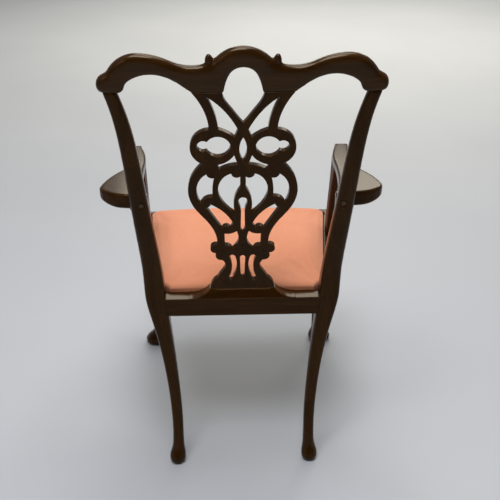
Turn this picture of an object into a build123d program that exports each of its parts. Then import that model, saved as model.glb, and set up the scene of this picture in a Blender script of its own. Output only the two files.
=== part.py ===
# Open armchair with a pierced splat back and a drop-in seat, in millimetres.
# +X is the sitter's left, +Y the rear, +Z up. The origin is on the floor, under the middle of the chair.
import os
from math import atan, cos, pi, radians, sin, sqrt, tan

from build123d import *

os.makedirs("parts", exist_ok=True)

# Seat frame
rail_back_y = 195.1  # rear face of the rear seat rail
rail_top_z = 409.0
seat_depth = 469.0  # rear face of the rear rail to front face of the front rail
rear_rail_height = 42.0
rear_rail_thickness = 38.0
side_rail_height = 62.0  # also the front rail
side_rail_thickness = 28.0
side_rear_x = 183.0  # middle of the side rail at the rear post
side_front_x = 234.0  # middle of the side rail at the front leg
rail_housing = 7.0  # how far a rail's end is let into a post or leg
tenon_length = 14.0
side_tenon_length = 10.0  # shorter, clear of the rear rail's tenon in the post
rail_gap = 0.5  # between the ends of two rails in one post
tenon_thickness = 9.0
tenon_shoulder = 8.0  # rail above and below a tenon
lip_width = 16.0  # rail left outside the rebate
rear_lip_width = 33.0
rebate_depth = 14.0

# Back
rake = atan(0.2)  # lean of the back
back_inset = 12.2  # rear plane of the back in front of the rear rail's rear face, at rail height
splat_height = 490.5  # rail top to the crest joint, up the slope
splat_thickness = 12.0
splat_tongue = 9.0  # into the crest
keyhole_half = 38.0  # splat's straps at the crest joint, from the middle to the inside
splat_top_half = 94.0  # and to the outside
splat_tongue_thickness = 6.0
ear_x = 241.0  # middle of the crest's ear, over the top of the back post
crest_thickness = 24.0
crest_roll = crest_thickness / 2  # height of the rolled upper edge
roll_flats = 6  # flats that round that edge
arch_radius = 56.0  # raised centre of the crest, inside its roll
bud_x = 61.5
bud_radius = 7.5
ear_tenon_width = 13.0
ear_tenon_depth = 12.0
ear_tenon_length = 14.0
shoe_height = 22.0
shoe_mortise = 13.0

# Posts and legs
post_width = 44.0  # rear post at the seat
post_depth = 44.0
post_middle_x = 189.5
post_proud = 2.0  # post behind the rear rail
rear_foot = 39.0
front_leg_size = 46.0
front_leg_x = 228.0
front_leg_reveal = 3.0  # leg in front of the front rail
front_foot = 64.0
leg_flats = 3  # flats that round each corner of a front leg
post_flats = 3  # and of a back post

# Arms
arm_top_z = 658.0
arm_thickness = 22.0
arm_let_in = 8.0  # arm end into the front of the back post
knuckle_radius = 11.5
knuckle_drop = 12.3  # knuckle's axis below the arm's top
knuckle_proud = 0.7  # knuckle beyond each side of the arm
knuckle_groove = 2.2  # depth of the grooves between its beads
arm_edge = 3.5  # bevel along the arm's edges
arm_post_thickness = 24.0
arm_reach = 294.0  # rear rail's rear face to the knuckle's axis
arm_post_back = 306.0  # rear rail's rear face to the foot of the arm post
arm_post_foot = 44.0  # arm post at the rail, front to back
arm_post_clear = 3.5  # arm post outside the rebate, at the middle of its foot
arm_post_edge = 4.0  # bevel along the arm post's edges
arm_post_drop = 55.0  # length of its tongue below the rail's top
arm_dowel_radius = 6.0
arm_dowel_length = 13.0

# Corner blocks and fasteners
block_leg = 62.0
block_height = 30.0
block_below = 27.0  # top of a block below the rails' top
block_gap = 1.5  # between a block and the leg in its corner
screw_radius = 2.0
screw_head_radius = 4.0
screw_head_height = 3.0
screw_bite = 15.0
head_sides = 12
shank_sides = 8
plug_radius = 5.0
plug_depth = 6.0

# Drop-in seat
seat_clearance = 1.5  # between the cover and the rebate
seat_rest_gap = 0.3  # between the cover and the rebate's ledge
seat_notch_gap = 4.0  # between the cover and the back posts
cover_thickness = 1.4
seat_frame_height = 20.0
seat_frame_width = 45.0
web_width = 50.0
web_thickness = 1.2
web_gap = 0.3
hessian_thickness = 0.8
hessian_inset = 12.0
fit_gap = 0.1  # between the seat frame and the cover drawn over it
cover_turn_under = 36.0
dust_cloth_thickness = 0.7
dust_cloth_inset = 28.0
crown_height = 26.0  # cover above the seat frame at its middle
flank_foot = 2.0  # cover above the seat frame where its flanks begin to lean in
dome_radius = 2400.0
tack_sides = 6
tack_head_radius = 3.0
tack_head_height = 0.8
tack_shank = 1.6
tack_length = 9.0

# Places that several pieces share
rail_front_y = rail_back_y - seat_depth
ledge_z = rail_top_z - rebate_depth
front_leg_y = rail_front_y - front_leg_reveal + front_leg_size / 2
rear_inside_y = rail_back_y - rear_rail_thickness
post_front_y = rail_back_y + post_proud - post_depth
side_rear_y = rail_back_y + post_proud - post_depth / 2
splay = atan((side_front_x - side_rear_x) / (side_rear_y - front_leg_y))
arm_under_z = arm_top_z - arm_thickness
slope = 1 / cos(rake)
joint_h = splat_height / slope
# Ear and crest joint for which the back's outlines are drawn; the outlines stretch with the real ones
drawn_ear, drawn_joint = (241, 481)
back_spread = ear_x / drawn_ear
back_stretch = (joint_h - shoe_height) / (drawn_joint - shoe_height)
back_plane = Plane(
    origin=(0, rail_back_y - back_inset, rail_top_z),
    x_dir=(1, 0, 0),
    z_dir=(0, -cos(rake), sin(rake)),
)
# Along the left side rail: x runs forward, y outward, z up from the floor
side_plane = Plane(
    origin=(side_rear_x, side_rear_y, 0),
    x_dir=(sin(splay), -cos(splay), 0),
    z_dir=(0, 0, 1),
)


def side_x(y, out):
    # x of a line alongside the left side rail, out from the rail's middle, at a given y
    return side_rear_x + out / cos(splay) + (side_rear_y - y) * tan(splay)


def side_s(y):
    # distance along the left side rail at a given y
    return (side_rear_y - y) / cos(splay)


def back_height(drawn):
    # true height above the rail's top of a height in the back's drawing; the shoe keeps its own
    return drawn + max(0, drawn - shoe_height) * (back_stretch - 1)


def back_z(drawn):
    # a height in the back's drawing as a distance up the slope of the back
    return back_height(drawn) * slope


def on_back(points):
    # places on the back, drawn as distance from the middle and height above the rail's top
    return [(u * back_spread, back_z(h)) for u, h in points]


def tangent_arcs(start, direction, points):
    # a smooth run of arcs inside a BuildLine, each leaving in the direction in which the last one ended
    for point in points:
        arc = TangentArc(start, point, tangent=direction)
        start = point
        direction = arc % 1


def eased_section(width, depth, rounding, flats):
    # a rectangle whose corners are worked round in a number of flats, at the place of the sketch's Locations
    points = []
    for corner in range(4):
        out_x = (width / 2 - rounding) * (1 if corner in (0, 3) else -1)
        out_y = (depth / 2 - rounding) * (1 if corner in (0, 1) else -1)
        for flat in range(flats + 1):
            turn = (corner + flat / flats) * pi / 2
            points.append((out_x + rounding * cos(turn), out_y + rounding * sin(turn)))
    Polygon(*points, align=None)


# Seat opening: the space inside the rebate
rebate_out = side_rail_thickness / 2 - lip_width
opening_back_y = rail_back_y - rear_lip_width
opening_front_y = rail_front_y + lip_width
with BuildPart() as seat_opening:
    with BuildSketch(Plane.XY.offset(ledge_z)):
        with BuildLine():
            Polyline(
                (side_x(opening_back_y, rebate_out), opening_back_y),
                (side_x(opening_front_y, rebate_out), opening_front_y),
                (-side_x(opening_front_y, rebate_out), opening_front_y),
                (-side_x(opening_back_y, rebate_out), opening_back_y),
                close=True,
            )
        make_face()
    extrude(amount=2 * rebate_depth)

# Rear seat rail
rear_rail_half = post_middle_x - post_width / 2 + rail_housing
rear_rail_y = rail_back_y - rear_rail_thickness / 2
rear_rail_z = rail_top_z - rear_rail_height / 2
with BuildPart() as rear_rail_blank:
    with Locations((0, rear_rail_y, rear_rail_z)):
        Box(2 * rear_rail_half, rear_rail_thickness, rear_rail_height)
        Box(
            2 * (rear_rail_half + tenon_length),
            tenon_thickness,
            rear_rail_height - 2 * tenon_shoulder,
        )
    add(seat_opening.part, mode=Mode.SUBTRACT)

# Front seat rail
front_rail_half = front_leg_x - front_leg_size / 2 + rail_housing
front_rail_y = rail_front_y + side_rail_thickness / 2
side_rail_z = rail_top_z - side_rail_height / 2
with BuildPart() as front_rail_blank:
    with Locations((0, front_rail_y, side_rail_z)):
        Box(2 * front_rail_half, side_rail_thickness, side_rail_height)
    with Locations((0, front_rail_y, side_rail_z - rebate_depth / 2)):
        Box(
            2 * (front_rail_half + tenon_length),
            tenon_thickness,
            side_rail_height - 2 * tenon_shoulder - rebate_depth,
        )
    add(seat_opening.part, mode=Mode.SUBTRACT)

# Left side rail, between the back post and the front leg
side_start = side_s(rear_inside_y - rail_gap)
side_end = side_s(front_leg_y + front_leg_size / 2) + rail_housing
side_mid = (side_start + side_end) / 2
side_length = side_end - side_start
with BuildPart() as side_rail_blank:
    with BuildSketch(side_plane.offset(rail_top_z - side_rail_height)):
        with Locations((side_mid, 0)):
            Rectangle(side_length, side_rail_thickness)
    extrude(amount=side_rail_height)
    with BuildSketch(side_plane.offset(rail_top_z - side_rail_height + tenon_shoulder)):
        with Locations((side_mid, 0)):
            Rectangle(side_length + 2 * side_tenon_length, tenon_thickness)
    extrude(amount=side_rail_height - 2 * tenon_shoulder - rebate_depth)
    add(seat_opening.part, mode=Mode.SUBTRACT)

# Left front leg: a square block at the rails, then a cabriole curve to a pad foot.
# Each section is its share of the leg's height, its shift out along the corner, its size and its rounding.
leg_block_z = rail_top_z - side_rail_height - 3
leg_sections = [
    (1.0, 0.0, front_leg_size, 7.0),
    (0.93, 5.0, front_leg_size + 1, 10.0),
    (0.83, 9.0, front_leg_size, 14.0),
    (0.68, 7.5, 41.0, 15.0),
    (0.5, 1.5, 34.0, 14.0),
    (0.33, -4.0, 28.0, 12.5),
    (0.2, -4.5, 26.5, 12.5),
    (0.125, 1.0, 34.0, 16.0),
    (0.07, 9.0, front_foot - 10, front_foot / 2 - 6),
    (0.035, 12.0, front_foot, front_foot / 2 - 0.5),
    (0.0, 11.0, front_foot - 18, front_foot / 2 - 9.5),
]
with BuildPart() as left_front_leg:
    sections = []
    for share, shift, size, rounding in leg_sections:
        with BuildSketch(Plane.XY.offset(share * leg_block_z), mode=Mode.PRIVATE) as section:
            with Locations((front_leg_x + shift * sqrt(0.5), front_leg_y - shift * sqrt(0.5))):
                eased_section(size, size, rounding, leg_flats)
        sections.append(section.sketch.face())
    loft(sections)
    with BuildSketch(Plane.XY.offset(leg_block_z)):
        with Locations((front_leg_x, front_leg_y)):
            eased_section(front_leg_size, front_leg_size, leg_sections[0][3], leg_flats)
    extrude(amount=rail_top_z - leg_block_z)
    add(seat_opening.part, mode=Mode.SUBTRACT)
    add(front_rail_blank.part, mode=Mode.SUBTRACT)
    add(side_rail_blank.part, mode=Mode.SUBTRACT)

# Foot of the left arm post on the side rail
arm_post_start = arm_post_back
arm_post_end = arm_post_back + arm_post_foot
arm_post_middle_y = rail_back_y - (arm_post_start + arm_post_end) / 2
arm_post_inner = side_x(arm_post_middle_y, rebate_out) + arm_post_clear
arm_post_lap = arm_post_inner + arm_post_thickness - side_x(arm_post_middle_y, side_rail_thickness / 2)

# Left arm: a flat board that swells at the elbow, let into the post, with a knuckle at its front end
arm_end_inner = post_middle_x + 1.5
arm_end_outer = post_middle_x + 39.5
arm_back_y = rail_back_y + (arm_under_z - rail_top_z) * tan(rake) - back_inset - 32
knuckle_y = rail_back_y - arm_reach
knuckle_z = arm_top_z - knuckle_drop
knuckle_inner = arm_post_inner + 9.0
knuckle_outer = arm_post_inner + arm_post_thickness + 14.0
knuckle_left = knuckle_outer + knuckle_proud
knuckle_right = knuckle_inner - knuckle_proud
bead = (knuckle_left - knuckle_right) / 3
# Edges of the arm: distance out from the arm post's inner face and share of the arm's reach
arm_outer_edge = [
    (62.9, 0.068),
    (73.9, 0.177),
    (41.4, 0.456),
    (26.9, 0.68),
    (knuckle_outer - arm_post_inner, 1),
]
arm_inner_edge = [(-8.6, 0.626), (-11.1, 0.34)]


def arm_places(edge):
    return [(arm_post_inner + out, rail_back_y - share * arm_reach) for out, share in edge]


with BuildPart() as arm_blank:
    with BuildSketch(Plane.XY.offset(arm_under_z)):
        with BuildLine():
            Line((arm_end_inner, arm_back_y), (arm_end_outer, arm_back_y))
            tangent_arcs((arm_end_outer, arm_back_y), (1, 0), arm_places(arm_outer_edge))
            Line((knuckle_outer, knuckle_y), (knuckle_inner, knuckle_y))
            tangent_arcs(
                (knuckle_inner, knuckle_y),
                (-0.35, 1),
                arm_places(arm_inner_edge) + [(arm_end_inner, arm_back_y)],
            )
        make_face()
    extrude(amount=arm_thickness)
    chamfer(arm_blank.edges().filter_by(GeomType.CIRCLE), arm_edge)
    with BuildSketch(Plane.XY.offset(arm_under_z)):
        with Locations(*arm_places([(61.4, 0.056)])):
            Circle(2.5)
    extrude(amount=arm_thickness, mode=Mode.SUBTRACT)
    with BuildSketch(Plane.XY.offset(arm_under_z)):
        with Locations(((arm_end_inner + arm_end_outer) / 2, arm_back_y)):
            Rectangle(arm_end_outer - arm_end_inner, 2 * arm_let_in)
    extrude(amount=arm_thickness)
    with BuildSketch(Plane((0, knuckle_y, knuckle_z), x_dir=(1, 0, 0), z_dir=(0, -1, 0))):
        with BuildLine():
            profile = [(knuckle_right, 0), (knuckle_left, 0)]
            for count in range(3):
                start = knuckle_left - count * bead
                profile.append((start, knuckle_radius - knuckle_groove))
                profile.append((start - knuckle_groove, knuckle_radius))
                profile.append((start - bead + knuckle_groove, knuckle_radius))
            profile.append((knuckle_right, knuckle_radius - knuckle_groove))
            Polyline(*profile, close=True)
        make_face()
    revolve(axis=Axis((0, knuckle_y, knuckle_z), (1, 0, 0)))

# Left arm post: it stands on the side rail, laps over the rail's outer face and sweeps back up to the arm
arm_post_plane = Plane((arm_post_inner, rail_back_y, 0), x_dir=(0, -1, 0), z_dir=(-1, 0, 0))
with BuildPart() as arm_post_blank:
    with BuildSketch(arm_post_plane):
        with BuildLine():
            Spline(
                (arm_post_start, rail_top_z),
                (arm_post_start - 13, rail_top_z + 61),
                (arm_post_start - 52, rail_top_z + 166),
                (arm_post_start - 87, arm_under_z),
            )
            Line((arm_post_start - 87, arm_under_z), (arm_post_start - 21, arm_under_z))
            Spline(
                (arm_post_start - 21, arm_under_z),
                (arm_post_start - 8, rail_top_z + 171),
                (arm_post_end - 20, rail_top_z + 70),
                (arm_post_end, rail_top_z),
            )
            Line((arm_post_end, rail_top_z), (arm_post_start, rail_top_z))
        make_face()
    extrude(amount=-arm_post_thickness)
    chamfer(arm_post_blank.edges().filter_by(GeomType.BSPLINE), arm_post_edge)
    # tongue over the rail's outer face
    with BuildSketch(Plane.XY.offset(rail_top_z - arm_post_drop)):
        with Locations((arm_post_inner + arm_post_thickness / 2, arm_post_middle_y)):
            Rectangle(arm_post_thickness, arm_post_foot - 2 * arm_post_edge)
    extrude(amount=arm_post_drop)
    add(side_rail_blank.part, mode=Mode.SUBTRACT)
    # dowel up into the arm
    with BuildSketch(Plane.XY.offset(arm_under_z - arm_dowel_length)):
        with Locations((arm_post_inner + arm_post_thickness / 2, rail_back_y - arm_post_start + 54)):
            Circle(arm_dowel_radius)
    extrude(amount=2 * arm_dowel_length)

# Splat: a sawn outline pierced by the openings between its straps. Left half, then mirrored.
tongue_x = (keyhole_half + splat_top_half) / 2 * back_spread
tongue_width = splat_top_half - keyhole_half - 16
with BuildPart() as splat:
    with BuildSketch(back_plane) as splat_face:
        with BuildLine():
            Spline(
                *on_back([(0, 418.6), (9.7, 430.5), (20.3, 445), (30.8, 459), (keyhole_half, drawn_joint)]),
            )
            Polyline(*on_back([(keyhole_half, drawn_joint), (splat_top_half, drawn_joint)]))
            Spline(*on_back([(splat_top_half, drawn_joint), (75.5, 451.5), (67, 427), (64.3, 406)]))
            ThreePointArc(*on_back([(64.3, 406), (101.4, 370), (78.4, 333)]))
            Spline(
                *on_back(
                    [
                        (78.4, 333),
                        (100, 306),
                        (108.5, 272),
                        (97.3, 232.6),
                        (72.8, 199.7),
                        (56, 167),
                        (53.5, 139),
                    ]
                )
            )
            ThreePointArc(*on_back([(53.5, 139), (67.5, 130), (54.5, 118.5)]))
            ThreePointArc(*on_back([(54.5, 118.5), (54.5, 104), (43, 99.5)]))
            Spline(*on_back([(43, 99.5), (36.6, 84), (44, 68), (53.7, 51.5)]))
            Spline(*on_back([(53.7, 51.5), (64.5, 40), (69.5, shoe_height)]))
            Polyline(
                *on_back(
                    [
                        (69.5, shoe_height),
                        (60, shoe_height),
                        (60, shoe_height - shoe_mortise),
                        (0, shoe_height - shoe_mortise),
                    ]
                )
            )
            mirror(about=Plane.YZ)
        make_face()
        with BuildSketch(mode=Mode.PRIVATE) as side_piercings:
            with BuildLine():  # between the outer strap, the crossing strap and the eye
                Spline(*on_back([(67.6, 472.6), (54.5, 443.6), (46.6, 406)]))
                ThreePointArc(*on_back([(46.6, 406), (31, 399.5), (16.3, 389.7)]))
                Line(*on_back([(16.3, 389.7), (9.7, 406)]))
                Spline(*on_back([(9.7, 406), (24.2, 430.5), (43.9, 454), (67.6, 472.6)]))
            make_face()
            with BuildLine():  # eye
                ThreePointArc(*on_back([(24.4, 374), (46, 391.5), (69, 380.5)]))
                ThreePointArc(*on_back([(69, 380.5), (88, 372), (69.8, 361.4)]))
                ThreePointArc(*on_back([(69.8, 361.4), (48, 348.5), (24.4, 374)]))
            make_face()
            with BuildLine():  # under the eye
                ThreePointArc(*on_back([(17.2, 351.5), (30, 338.5), (49, 331)]))
                Line(*on_back([(49, 331), (46, 320)]))
                ThreePointArc(*on_back([(46, 320), (29, 327.5), (10, 330.5)]))
                Line(*on_back([(10, 330.5), (17.2, 351.5)]))
            make_face()
            with BuildLine():  # crescent between the outer loop and the heart
                Spline(*on_back([(71.5, 310), (88, 291), (91.5, 268), (84.8, 242.4)]))
                Spline(*on_back([(84.8, 242.4), (74, 254.5), (60, 257.5)]))
                Spline(*on_back([(60, 257.5), (60.2, 277), (56, 301.7)]))
                ThreePointArc(*on_back([(56, 301.7), (64.5, 301.7), (71.5, 310)]))
            make_face()
            with BuildLine():  # half of the heart, beside its stem
                Line(*on_back([(5.5, 278), (5.5, 304)]))
                ThreePointArc(*on_back([(5.5, 304), (15, 302), (23.2, 311)]))
                Spline(
                    *on_back(
                        [
                            (23.2, 311),
                            (42, 297.5),
                            (49.2, 273),
                            (41, 245.5),
                            (14.6, 217),
                        ]
                    )
                )
                Spline(*on_back([(14.6, 217), (18.5, 240), (5.5, 278)]))
            make_face()
            with BuildLine():  # slanted gap between the outer loop and the heart's tail
                ThreePointArc(*on_back([(64.5, 240), (68.5, 234), (74, 232.5)]))
                Spline(*on_back([(74, 232.5), (60, 209), (42.3, 180.5)]))
                ThreePointArc(*on_back([(42.3, 180.5), (33.5, 186.5), (25.5, 181)]))
                Line(*on_back([(25.5, 181), (19.2, 193)]))
                Spline(*on_back([(19.2, 193), (36, 218.5), (64.5, 240)]))
            make_face()
            with BuildLine():  # above the lower knobs
                Line(*on_back([(37.5, 168), (36.8, 137)]))
                ThreePointArc(*on_back([(36.8, 137), (28, 135.5), (21.5, 127.8)]))
                Spline(*on_back([(21.5, 127.8), (10, 146), (12.6, 174)]))
                Spline(*on_back([(12.6, 174), (25, 168), (37.5, 168)]))
            make_face()
            with BuildLine():  # side slot of the neck
                Spline(*on_back([(28.4, 108), (22.5, 82), (29.7, 53)]))
                ThreePointArc(*on_back([(29.7, 53), (24.5, 44), (20, 53)]))
                Spline(*on_back([(20, 53), (12.4, 82), (15.3, 108)]))
                ThreePointArc(*on_back([(15.3, 108), (22, 113), (28.4, 108)]))
            make_face()
            with Locations(*on_back([(43.5, 124.6)])):
                Circle(1.3)
            mirror(about=Plane.YZ)
        add(side_piercings.sketch, mode=Mode.SUBTRACT)
        with BuildSketch(mode=Mode.PRIVATE) as middle_piercings:
            with BuildLine():  # lozenge between the eyes
                ThreePointArc(*on_back([(0, 390), (7.2, 366), (0, 338.4)]))
                mirror(about=Plane.YZ)
            make_face()
            with BuildLine():  # hairpin under the heart's stem
                Spline(*on_back([(0, 256), (8.6, 243), (3.6, 220)]), tangents=((1, 0), (0, -1)))
                Line(*on_back([(3.6, 220), (4.2, 190)]))
                ThreePointArc(*on_back([(4.2, 190), (2.8, 176), (0, 170)]))
                mirror(about=Plane.YZ)
            make_face()
            with BuildLine():  # slit over the cross band
                ThreePointArc(*on_back([(0, 142), (1.4, 137.5), (0, 133)]))
                mirror(about=Plane.YZ)
            make_face()
            with BuildLine():  # middle slot of the neck
                ThreePointArc(*on_back([(0, 112), (4.2, 109.5), (5.6, 104)]))
                Line(*on_back([(5.6, 104), (4, 60)]))
                ThreePointArc(*on_back([(4, 60), (3, 53), (0, 50)]))
                mirror(about=Plane.YZ)
            make_face()
        add(middle_piercings.sketch, mode=Mode.SUBTRACT)
    extrude(amount=splat_thickness)
    # Tongues up into the crest, rooted in the straps below the joint
    with BuildSketch(back_plane.offset((splat_thickness - splat_tongue_thickness) / 2)):
        tongue_y = splat_height - splat_tongue
        with Locations((tongue_x, tongue_y), (-tongue_x, tongue_y)):
            Rectangle(tongue_width, 2 * splat_tongue, align=(Align.CENTER, Align.MIN))
    extrude(amount=splat_tongue_thickness)

# Splat shoe: on top of the rear rail, with hollow ends and a rear face that leans to meet the splat
shoe_top = 72 * back_spread
shoe_foot = shoe_top + 2 * shoe_height
shoe_lean = back_inset - shoe_height * tan(rake)
with BuildPart() as splat_shoe:
    with BuildSketch(Plane((0, rail_back_y, rail_top_z), x_dir=(1, 0, 0), z_dir=(0, -1, 0))):
        with BuildLine():
            Line((0, 0), (shoe_foot, 0))
            Line((shoe_foot, 0), (shoe_foot, 1))
            ThreePointArc(
                (shoe_foot, 1),
                (shoe_top + 0.62 * shoe_height, 0.36 * shoe_height),
                (shoe_top, shoe_height - 3),
            )
            Line((shoe_top, shoe_height - 3), (shoe_top, shoe_height))
            Line((shoe_top, shoe_height), (0, shoe_height))
            mirror(about=Plane.YZ)
        make_face()
    extrude(amount=rear_lip_width)
    upper_face = splat_shoe.faces().sort_by(Axis.Z)[-1]
    chamfer(upper_face.edges().filter_by(Axis.X).sort_by(Axis.Y)[0], 3.0)
    with BuildSketch(Plane.YZ.offset(-shoe_foot)):
        with BuildLine():
            Polyline(
                (rail_back_y, rail_top_z),
                (rail_back_y - shoe_lean, rail_top_z + shoe_height),
                (rail_back_y, rail_top_z + shoe_height),
                close=True,
            )
        make_face()
    extrude(amount=2 * shoe_foot, mode=Mode.SUBTRACT)
    add(splat.part, mode=Mode.SUBTRACT)

# Crest rail: a serpentine board with ears and a rolled upper edge, a raised centre, buds and a keyhole arch.
# The left half is made first; its board ends where the roll begins.
ear_joint_inner = 229.0


def rolled_edge():
    # section of the roll, from face to face: out from the board and across its thickness
    turns = [(count / roll_flats - 0.5) * pi for count in range(roll_flats + 1)]
    return [(crest_roll * cos(turn), crest_thickness / 2 * sin(turn)) for turn in turns]


def rolled_disc(x, drawn, radius):
    # a round of the board's thickness with the same rolled edge
    middle = back_plane.from_local_coords(Vector(x, back_z(drawn), 0))
    plane = Plane(origin=middle, x_dir=(1, 0, 0), z_dir=back_plane.y_dir)
    with BuildPart(mode=Mode.PRIVATE) as disc:
        with BuildSketch(plane):
            with BuildLine():
                rim = [(radius + out, across - crest_thickness / 2) for out, across in rolled_edge()]
                Polyline((0, -crest_thickness), *rim, (0, 0), close=True)
            make_face()
        revolve(axis=Axis(plane.origin, plane.y_dir))
    return disc.part


roll_path = [
    (77, 518),
    (135, 527),
    (188, 540.5),
    (216, 533),
    (229, 521.5),
    (237, 508),
    (240, 497),
]
ear_end = roll_path[-1]
ear_foot = drawn_joint - 9
ear_knob = (245.5, 495)
ear_knob_radius = 9.0  # inside its roll
with BuildPart() as crest_half:
    with BuildSketch(back_plane):
        with BuildLine():
            tangent_arcs((0, back_z(524)), (1, 0), on_back(roll_path))
            Polyline(*on_back([ear_end, (ear_end[0], ear_foot), (ear_joint_inner, ear_foot)]))
            Line(*on_back([(ear_joint_inner, ear_foot), (ear_joint_inner, drawn_joint)]))
            ThreePointArc(*on_back([(ear_joint_inner, drawn_joint), (217, 485.5), (213.5, 495)]))
            tangent_arcs((168, back_z(513.5)), (1, 0), on_back([(213.5, 495)]))
            tangent_arcs((168, back_z(513.5)), (-1, 0), on_back([(129, 503), (splat_top_half, drawn_joint)]))
            Polyline(*on_back([(splat_top_half, drawn_joint), (0, drawn_joint), (0, 524)]))
        make_face()
    extrude(amount=crest_thickness)
    with BuildLine(mode=Mode.PRIVATE) as roll_line:
        tangent_arcs((0, back_z(524)), (1, 0), on_back(roll_path))
    roll_wire = roll_line.wire().moved(Location(back_plane.offset(crest_thickness / 2)))
    roll_start = Plane(roll_wire @ 0, x_dir=-back_plane.z_dir, z_dir=(1, 0, 0))
    with BuildSketch(roll_start, mode=Mode.PRIVATE) as roll_section:
        with BuildLine():
            Polyline(*[(across, out) for out, across in rolled_edge()], close=True)
        make_face()
    with BuildPart(mode=Mode.PRIVATE) as roll:
        sweep(sections=roll_section.sketch, path=roll_wire)
    add(roll.part)
    # the ear's round knob, which ends square where it sits on the post
    add(rolled_disc(ear_knob[0] * back_spread, ear_knob[1], ear_knob_radius))
    with BuildSketch(back_plane):
        with Locations((ear_x, splat_height)):
            Rectangle(100, 100, align=(Align.CENTER, Align.MAX))
    extrude(amount=crest_thickness, both=True, mode=Mode.SUBTRACT)

# Tenon of the post into the ear
with BuildPart() as ear_tenon:
    with BuildSketch(back_plane.offset((crest_thickness - ear_tenon_depth) / 2)):
        with Locations((ear_x, splat_height)):
            Rectangle(ear_tenon_width, 2 * ear_tenon_length)
    extrude(amount=ear_tenon_depth)

with BuildPart() as crest_rail:
    add(crest_half.part)
    mirror(crest_half.part, about=Plane.YZ)
    # raised centre: a disc of which the part above the board shows
    with BuildPart(mode=Mode.PRIVATE) as arch:
        add(rolled_disc(0, 498, arch_radius))
        with BuildSketch(back_plane):
            with Locations((0, back_z(525))):
                Rectangle(400, 400, align=(Align.CENTER, Align.MAX))
        extrude(amount=crest_thickness, both=True, mode=Mode.SUBTRACT)
    add(arch.part)
    # buds beside the raised centre, rooted in the board
    for side in (1, -1):
        bud_root = Vector(side * bud_x, back_z(517), crest_thickness / 2)
        bud_length = back_z(550) - back_z(517)
        bud_plane = Plane(back_plane.from_local_coords(bud_root), x_dir=(1, 0, 0), z_dir=back_plane.z_dir)
        with BuildPart(mode=Mode.PRIVATE) as bud:
            with BuildSketch(bud_plane):
                with BuildLine():
                    Polyline(
                        (0, 0),
                        (bud_radius - 2.5, 0),
                        (bud_radius, 0.6 * bud_length),
                        (bud_radius - 1, 0.82 * bud_length),
                        (bud_radius - 4, 0.96 * bud_length),
                        (bud_radius - 6.5, bud_length),
                        (0, bud_length),
                        close=True,
                    )
                make_face()
            revolve(axis=Axis(bud_plane.origin, bud_plane.y_dir))
        add(bud.part)
    # keyhole arch over the splat's crossing straps
    with BuildSketch(back_plane):
        with BuildLine():
            tangent_arcs((0, back_z(527)), (1, 0), on_back([(25.5, 511), (keyhole_half - 2, drawn_joint)]))
            Line(*on_back([(keyhole_half - 2, drawn_joint), (0, drawn_joint)]))
            mirror(about=Plane.YZ)
        make_face()
    extrude(amount=crest_thickness, mode=Mode.SUBTRACT)
    add(ear_tenon.part, mode=Mode.SUBTRACT)
    add(mirror(ear_tenon.part, about=Plane.YZ, mode=Mode.PRIVATE), mode=Mode.SUBTRACT)
    add(splat.part, mode=Mode.SUBTRACT)


# Left back post: rear leg and stile in one curved piece.
# Leg: share of the rail's height, middle in from the post's, middle behind the rear rail, width, depth
# and rounding.
leg_stations = [
    (0.0, 35.5, 50.0, rear_foot - 8, rear_foot - 8, rear_foot / 2 - 5),
    (0.02, 35.3, 50.0, rear_foot - 1.5, rear_foot - 1.5, rear_foot / 2 - 1.2),
    (0.045, 35.5, 49.0, rear_foot, rear_foot, rear_foot / 2 - 0.5),
    (0.085, 37.0, 45.0, 31.0, 31.0, 14.0),
    (0.14, 38.0, 41.0, 26.0, 27.0, 10.0),
    (0.25, 37.8, 31.0, 25.0, 27.0, 8.0),
    (0.49, 30.5, 9.0, 27.0, 29.5, 8.0),
    (0.73, 17.5, 11.5 - post_depth / 2, 0.76 * post_width, 0.84 * post_depth, 8.0),
    (0.88, 7.5, 4.0 - post_depth / 2, 0.91 * post_width, post_depth - 1, 8.0),
    (1.0, 0.0, post_proud - post_depth / 2, post_width, post_depth, 8.0),
]
# Stile: drawn height above the rail, share of the way out to the ear, width, depth, rounding and how far
# it stands behind the back's plane.
stile_stations = [
    (41.0, 0.05, post_width - 1, post_depth - 4, 8.5, 4.5),
    (138.0, 0.19, 40.0, 35.0, 9.5, 0.0),
    (231.0, 0.35, 37.0, 31.0, 9.5, 0.0),
    (350.0, 0.545, 33.0, 27.5, 9.0, 0.0),
    (427.0, 0.75, 29.5, 25.5, 8.5, 0.0),
    (478.0, 1.0, 26.0, 24.5, 8.0, 0.0),
    (506.0, 1.175, 25.0, 24.5, 8.0, 0.0),
]
with BuildPart() as post_blank:
    sections = []
    for share, inward, y, width, depth, rounding in leg_stations:
        with BuildSketch(Plane.XY.offset(share * rail_top_z), mode=Mode.PRIVATE) as section:
            with Locations((post_middle_x - inward, rail_back_y + y)):
                eased_section(width, depth, rounding, post_flats)
        sections.append(section.sketch.face())
    for drawn, share, width, depth, rounding, proud in stile_stations:
        height = back_height(drawn)
        x = post_middle_x + share * (ear_x - post_middle_x)
        rear_y = rail_back_y - back_inset + height * tan(rake) + proud
        with BuildSketch(Plane.XY.offset(rail_top_z + height), mode=Mode.PRIVATE) as section:
            with Locations((x, rear_y - depth / 2)):
                eased_section(width, depth, rounding, post_flats)
        sections.append(section.sketch.face())
    loft(sections)
    # square top under the crest's ear, with its tenon
    with BuildSketch(back_plane):
        with Locations((ear_x, splat_height)):
            Rectangle(120, 120, align=(Align.CENTER, Align.MIN))
    extrude(amount=3 * crest_thickness, both=True, mode=Mode.SUBTRACT)
    add(ear_tenon.part)
    add(rear_rail_blank.part, mode=Mode.SUBTRACT)
    add(side_rail_blank.part, mode=Mode.SUBTRACT)
    add(arm_blank.part, mode=Mode.SUBTRACT)


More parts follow.
